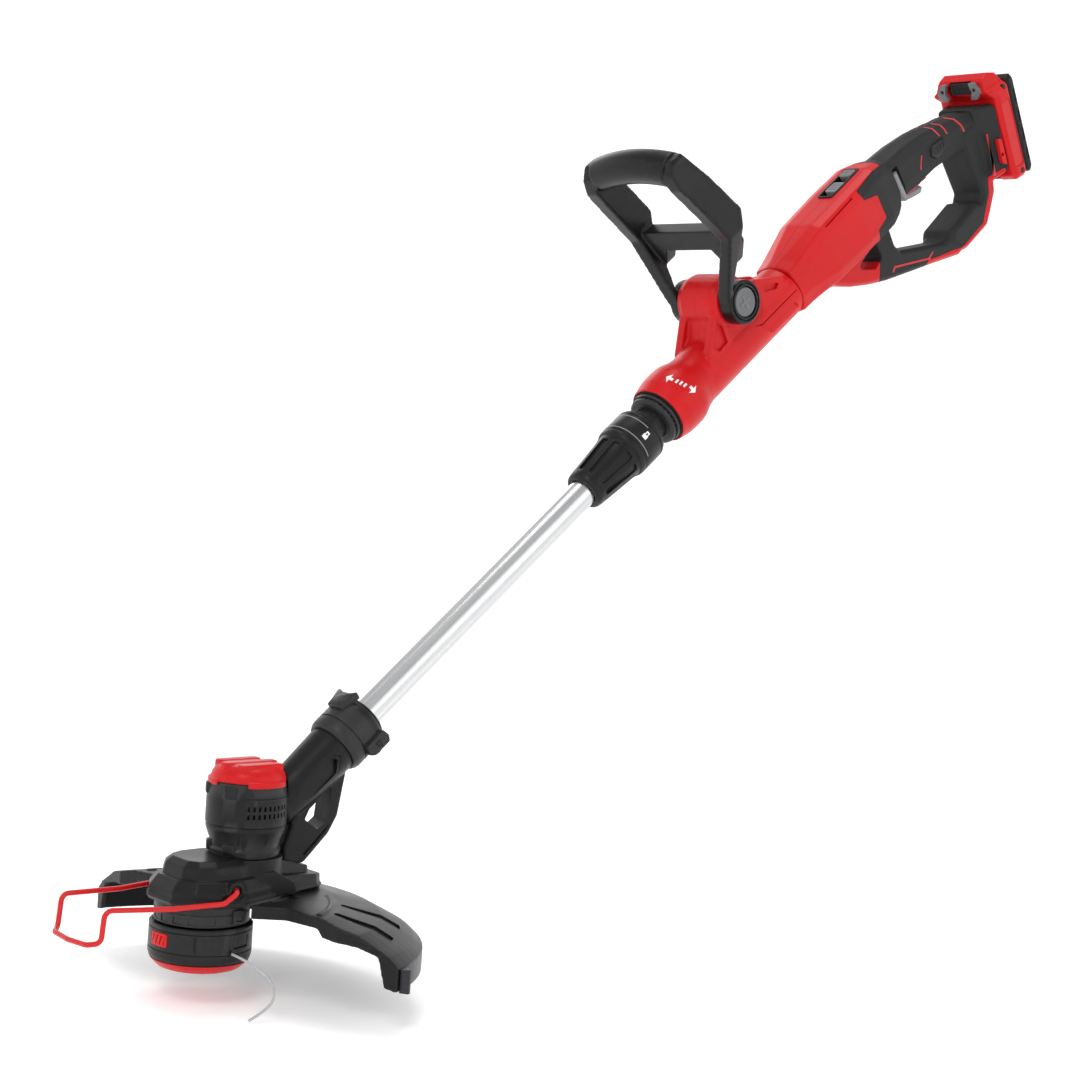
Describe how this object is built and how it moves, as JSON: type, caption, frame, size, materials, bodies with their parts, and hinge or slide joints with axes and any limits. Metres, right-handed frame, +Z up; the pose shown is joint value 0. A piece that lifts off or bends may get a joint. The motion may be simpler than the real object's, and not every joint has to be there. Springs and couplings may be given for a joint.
{
  "type": "string trimmer",
  "caption": "Cordless string trimmer with telescoping twist shaft, D-shaped rear grip, tilting auxiliary handle, slide-on battery, guarded line head and fold-up edge guide wire.",
  "frame": {"origin": "middle of the rear grip, on the line of the shaft", "axes": "+X back along the tool towards the user, +Z up, -Y the left side, as the tool is held ready to cut"},
  "size_m": [1.0421, 0.3256, 0.8285],
  "materials": {
    "aluminium": "polished",
    "black_plastic": "matte moulded",
    "cell_wrap": "wrapped",
    "circuit": "lacquered",
    "dark_overmould": "soft matte",
    "gear_nylon": "natural",
    "grey_plastic": "satin",
    "nylon_line": "translucent white",
    "red_plastic": "satin moulded",
    "red_wire": "gloss paint",
    "steel": "bright"
  },
  "bodies": {
    "handle": {"front_barrel_left": "red_plastic", "front_barrel_right": "red_plastic", "main_housing_left": "red_plastic", "main_housing_right": "red_plastic", "rear_handle_left": "dark_overmould", "rear_handle_right": "dark_overmould", "lower_trim": "red_plastic", "housing_screws": "steel", "control_board": "circuit", "trigger_switch": "black_plastic", "trigger_spring": "steel", "slider_tray": "black_plastic", "terminal_block": "black_plastic", "aux_pivot_pin": "steel", "release_spring": "steel"},
    "trigger_lever": {"trigger": "grey_plastic"},
    "lock_off": {"lock_off_button": "black_plastic"},
    "speed_control": {"speed_slider": "grey_plastic"},
    "line_feed_control": {"feed_button": "grey_plastic"},
    "battery": {"battery_case": "red_plastic", "battery_base": "black_plastic", "battery_cells": "cell_wrap", "battery_screws": "steel"},
    "battery_catch": {"battery_latch": "black_plastic"},
    "battery_gauge": {"gauge_button": "grey_plastic"},
    "aux_handle": {"aux_frame": "dark_overmould", "aux_grip": "black_plastic"},
    "aux_lock": {"aux_button": "grey_plastic"},
    "upper_coupling": {"upper_tube": "aluminium", "collar_seat": "black_plastic", "collet": "black_plastic"},
    "release_ring": {"release_sleeve": "black_plastic"},
    "shaft_lock": {"lock_collar": "black_plastic"},
    "cutting_end": {"lower_tube": "aluminium", "shaft_lead": "black_plastic", "neck_left": "black_plastic", "neck_right": "black_plastic", "clamp_ring": "black_plastic", "motor_housing": "black_plastic", "motor_cap": "red_plastic", "motor_can": "steel", "dome": "black_plastic", "gear_case": "black_plastic", "spindle_bearings": "steel", "debris_guard": "black_plastic", "line_cutter": "steel"},
    "wire_guide": {"edge_guide": "red_wire"},
    "spool_head": {"spindle": "steel", "drive_gear": "gear_nylon", "spool_housing": "black_plastic", "spool_cap": "black_plastic", "glide_plate": "red_plastic", "line_eyelet": "steel", "trimmer_line": "nylon_line"},
    "motor_rotor": {"rotor": "steel", "pinion": "steel"},
    "inner_spool": {"line_spool": "grey_plastic", "wound_line": "nylon_line"},
    "tab_front": {"release_tab_front": "red_plastic"},
    "tab_rear": {"release_tab_rear": "red_plastic"}
  },
  "joints": [
    {"name": "trigger_pull", "type": "slide", "parent": "handle", "child": "trigger_lever", "axis": [-0.6388, 0, 0.7694], "range_m": [0, 0.0045], "stiffness_N_per_m": 1500, "springref_m": -0.0015, "deforming": ["trigger_spring"]},
    {"name": "lock_off_press", "type": "slide", "parent": "handle", "child": "lock_off", "axis": [0, 1, 0], "range_m": [0, 0.003], "stiffness_N_per_m": 900, "springref_m": -0.001},
    {"name": "speed_slide", "type": "slide", "parent": "handle", "child": "speed_control", "axis": [0.7694, 0, 0.6388], "range_m": [0, 0.006]},
    {"name": "feed_press", "type": "slide", "parent": "handle", "child": "line_feed_control", "axis": [0.6388, 0, -0.7694], "range_m": [0, 0.0025], "stiffness_N_per_m": 700, "springref_m": -0.001},
    {"name": "battery_slide", "type": "slide", "parent": "handle", "child": "battery", "axis": [-0.4833, 0, 0.8755], "range_m": [0, 0.08]},
    {"name": "latch_press", "type": "slide", "parent": "battery", "child": "battery_catch", "axis": [0.8755, 0, 0.4833], "range_m": [0, 0.002], "stiffness_N_per_m": 1500, "springref_m": -0.001},
    {"name": "gauge_press", "type": "slide", "parent": "battery", "child": "battery_gauge", "axis": [-0.8755, 0, -0.4833], "range_m": [0, 0.0012], "stiffness_N_per_m": 900, "springref_m": -0.0008},
    {"name": "aux_handle_tilt", "type": "hinge", "parent": "handle", "child": "aux_handle", "pos_m": [-0.25906, 0, -0.15918], "axis": [0, 1, 0], "range_deg": [-35, 50]},
    {"name": "aux_lock_press", "type": "slide", "parent": "aux_handle", "child": "aux_lock", "axis": [0, 1, 0], "range_m": [0, 0.0025], "stiffness_N_per_m": 1200, "springref_m": -0.001},
    {"name": "edge_twist", "type": "hinge", "parent": "handle", "child": "upper_coupling", "pos_m": [-0.31545, 0, -0.26189], "axis": [0.7694, 0, 0.6388], "range_deg": [0, 180]},
    {"name": "release_push", "type": "slide", "parent": "handle", "child": "release_ring", "axis": [0.7694, 0, 0.6388], "range_m": [0, 0.0035], "stiffness_N_per_m": 800, "springref_m": -0.002, "deforming": ["release_spring"]},
    {"name": "collar_twist", "type": "hinge", "parent": "upper_coupling", "child": "shaft_lock", "pos_m": [-0.36931, 0, -0.30661], "axis": [0.7694, 0, 0.6388], "range_deg": [0, 60]},
    {"name": "shaft_telescope", "type": "slide", "parent": "upper_coupling", "child": "cutting_end", "axis": [0.7694, 0, 0.6388], "range_m": [0, 0.18]},
    {"name": "guide_fold", "type": "hinge", "parent": "cutting_end", "child": "wire_guide", "pos_m": [-0.76681, 0, -0.6397], "axis": [0, 1, 0], "range_deg": [0, 75]},
    {"name": "spool_spin", "type": "hinge", "parent": "cutting_end", "child": "spool_head", "pos_m": [-0.76881, 0, -0.6797], "axis": [0, 0, 1], "continuous": true},
    {"name": "motor_spin", "type": "hinge", "parent": "cutting_end", "child": "motor_rotor", "pos_m": [-0.73381, 0, -0.6097], "axis": [0, 0, 1], "continuous": true},
    {"name": "spool_feed", "type": "hinge", "parent": "spool_head", "child": "inner_spool", "pos_m": [-0.76881, 0, -0.6857], "axis": [0, 0, 1], "continuous": true},
    {"name": "tab_front_press", "type": "slide", "parent": "spool_head", "child": "tab_front", "axis": [0.9976, 0.0698, 0], "range_m": [0, 0.0012], "stiffness_N_per_m": 1200, "springref_m": -0.0005},
    {"name": "tab_rear_press", "type": "slide", "parent": "spool_head", "child": "tab_rear", "axis": [-0.9976, -0.0698, 0], "range_m": [0, 0.0012], "stiffness_N_per_m": 1200, "springref_m": -0.0005}
  ],
  "couplings": [
    {"joint": "motor_spin", "follows": "spool_spin", "ratio": -4}
  ]
}
